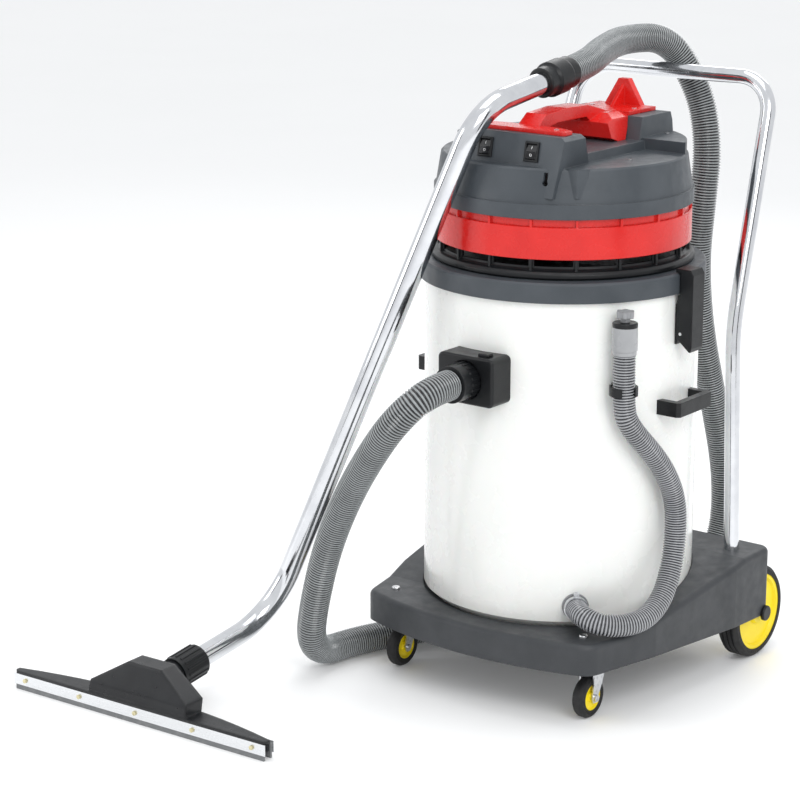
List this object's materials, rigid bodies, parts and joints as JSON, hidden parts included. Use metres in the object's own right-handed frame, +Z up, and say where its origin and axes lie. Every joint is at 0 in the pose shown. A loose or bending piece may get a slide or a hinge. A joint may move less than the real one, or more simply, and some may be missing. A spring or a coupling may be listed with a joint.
{
  "type": "shop vacuum",
  "caption": "Tall twin-motor wet and dry vacuum on a wheeled trolley, with a push handle, drain hose, and a suction hose and bent wand parked over the head.",
  "frame": {"origin": "the floor under the tank's axis", "axes": "+Z up; -Y to the front, where the hose inlet and the switches are; +X to the drain hose's side, which is the right side seen from the front"},
  "size_m": [0.8897, 1.1606, 1.0256],
  "materials": {
    "deck": "satin moulded",
    "steel": "bright steel",
    "black": "satin moulded",
    "rocker": "glossy",
    "yellow": "semi-gloss",
    "tyre": "matt rubber",
    "zinc": "zinc plated",
    "chrome": "polished",
    "tank": "glossy",
    "slate": "satin, lightly textured",
    "red": "glossy",
    "gasket": "matt",
    "grey_hose": "satin corrugated",
    "knob": "satin",
    "motor": "satin",
    "float": "matt",
    "cloth": "felt",
    "strip": "brushed"
  },
  "bodies": {
    "vacuum": {"trolley_deck": "deck", "rear_axle": "steel", "deck_screws": "steel", "latch_pins": "steel", "tank_bolts": "steel", "cover_screws": "steel", "tool_screws": "steel", "axle_caps": "black", "inlet_block": "black", "inlet_deflector": "black", "latch_brackets": "black", "carry_handles": "black", "drain_spout": "black", "drain_plug": "black", "hose_clip": "black", "vent_base": "black", "cable_gland": "black", "float_cage": "black", "motor_plate": "black", "wand_cuff": "black", "tool_body": "black", "switch_bezels": "black", "caster_plates": "zinc", "drain_hose_clamp": "zinc", "push_handle": "chrome", "wand_tube": "chrome", "tank_shell": "tank", "head_cover": "slate", "lid_ring": "slate", "vent_band": "red", "carry_grip": "red", "lid_gasket": "gasket", "tool_blades": "gasket", "suction_hose": "grey_hose", "drain_hose": "grey_hose", "drain_cuff": "grey_hose", "motor_housings": "motor", "filter_bag": "cloth", "tool_strips": "strip"},
    "left_caster": {"left_caster_fork": "zinc"},
    "left_caster_wheel": {"left_caster_hub": "yellow", "left_caster_tyre": "tyre"},
    "left_rear_wheel": {"left_rear_hub": "yellow", "left_rear_tyre": "tyre"},
    "left_switch": {"left_rocker": "rocker"},
    "left_latch_lever": {"left_latch": "black"},
    "left_motor": {"left_rotor": "steel"},
    "right_caster": {"right_caster_fork": "zinc"},
    "right_caster_wheel": {"right_caster_hub": "yellow", "right_caster_tyre": "tyre"},
    "right_rear_wheel": {"right_rear_hub": "yellow", "right_rear_tyre": "tyre"},
    "right_switch": {"right_rocker": "rocker"},
    "right_latch_lever": {"right_latch": "black"},
    "right_motor": {"right_rotor": "steel"},
    "button": {"release_button": "black"},
    "hose_cuff": {"inlet_cuff": "black"},
    "plug_knob": {"drain_knob": "knob"},
    "nozzle_nut": {"tool_nut": "black"},
    "float": {"float_disc": "float"}
  },
  "joints": [
    {"name": "left_caster_swivel", "type": "hinge", "parent": "vacuum", "child": "left_caster", "pos_m": [-0.184, -0.169, 0.075], "axis": [0, 0, 1], "continuous": true},
    {"name": "left_caster_roll", "type": "hinge", "parent": "left_caster", "child": "left_caster_wheel", "pos_m": [-0.184, -0.181, 0.034], "axis": [1, 0, 0], "continuous": true},
    {"name": "left_rear_roll", "type": "hinge", "parent": "vacuum", "child": "left_rear_wheel", "pos_m": [-0.242, 0.217, 0.0775], "axis": [1, 0, 0], "continuous": true},
    {"name": "left_switch_rock", "type": "hinge", "parent": "vacuum", "child": "left_switch", "pos_m": [-0.031, -0.16796, 0.87781], "axis": [1, 0, 0], "range_deg": [0, 16]},
    {"name": "left_latch_swing", "type": "hinge", "parent": "vacuum", "child": "left_latch_lever", "pos_m": [-0.232, 0, 0.592], "axis": [0, -1, 0], "range_deg": [0, 50]},
    {"name": "left_motor_spin", "type": "hinge", "parent": "vacuum", "child": "left_motor", "pos_m": [-0.085, 0, 0.76], "axis": [0, 0, 1], "continuous": true},
    {"name": "right_caster_swivel", "type": "hinge", "parent": "vacuum", "child": "right_caster", "pos_m": [0.184, -0.169, 0.075], "axis": [0, 0, 1], "continuous": true},
    {"name": "right_caster_roll", "type": "hinge", "parent": "right_caster", "child": "right_caster_wheel", "pos_m": [0.184, -0.181, 0.034], "axis": [1, 0, 0], "continuous": true},
    {"name": "right_rear_roll", "type": "hinge", "parent": "vacuum", "child": "right_rear_wheel", "pos_m": [0.242, 0.217, 0.0775], "axis": [1, 0, 0], "continuous": true},
    {"name": "right_switch_rock", "type": "hinge", "parent": "vacuum", "child": "right_switch", "pos_m": [0.055, -0.16796, 0.87781], "axis": [1, 0, 0], "range_deg": [0, 16]},
    {"name": "right_latch_swing", "type": "hinge", "parent": "vacuum", "child": "right_latch_lever", "pos_m": [0.232, 0, 0.592], "axis": [0, 1, 0], "range_deg": [0, 50]},
    {"name": "right_motor_spin", "type": "hinge", "parent": "vacuum", "child": "right_motor", "pos_m": [0.085, 0, 0.76], "axis": [0, 0, 1], "continuous": true},
    {"name": "button_press", "type": "slide", "parent": "vacuum", "child": "button", "axis": [0, 0, -1], "range_m": [0, 0.003], "stiffness_N_per_m": 300, "springref_m": -0.001},
    {"name": "hose_cuff_twist", "type": "hinge", "parent": "vacuum", "child": "hose_cuff", "pos_m": [0, -0.27, 0.532], "axis": [0, 1, 0], "range_deg": [0, 30]},
    {"name": "plug_knob_turn", "type": "hinge", "parent": "vacuum", "child": "plug_knob", "pos_m": [0.20631, -0.13398, 0.63], "axis": [0, 0, 1], "range_deg": [0, 360]},
    {"name": "nozzle_nut_turn", "type": "hinge", "parent": "vacuum", "child": "nozzle_nut", "pos_m": [-0.361, -0.54084, 0.05184], "axis": [0, 0.991, 0.134], "range_deg": [0, 90]},
    {"name": "float_rise", "type": "slide", "parent": "vacuum", "child": "float", "axis": [0, 0, 1], "range_m": [0, 0.08]}
  ]
}
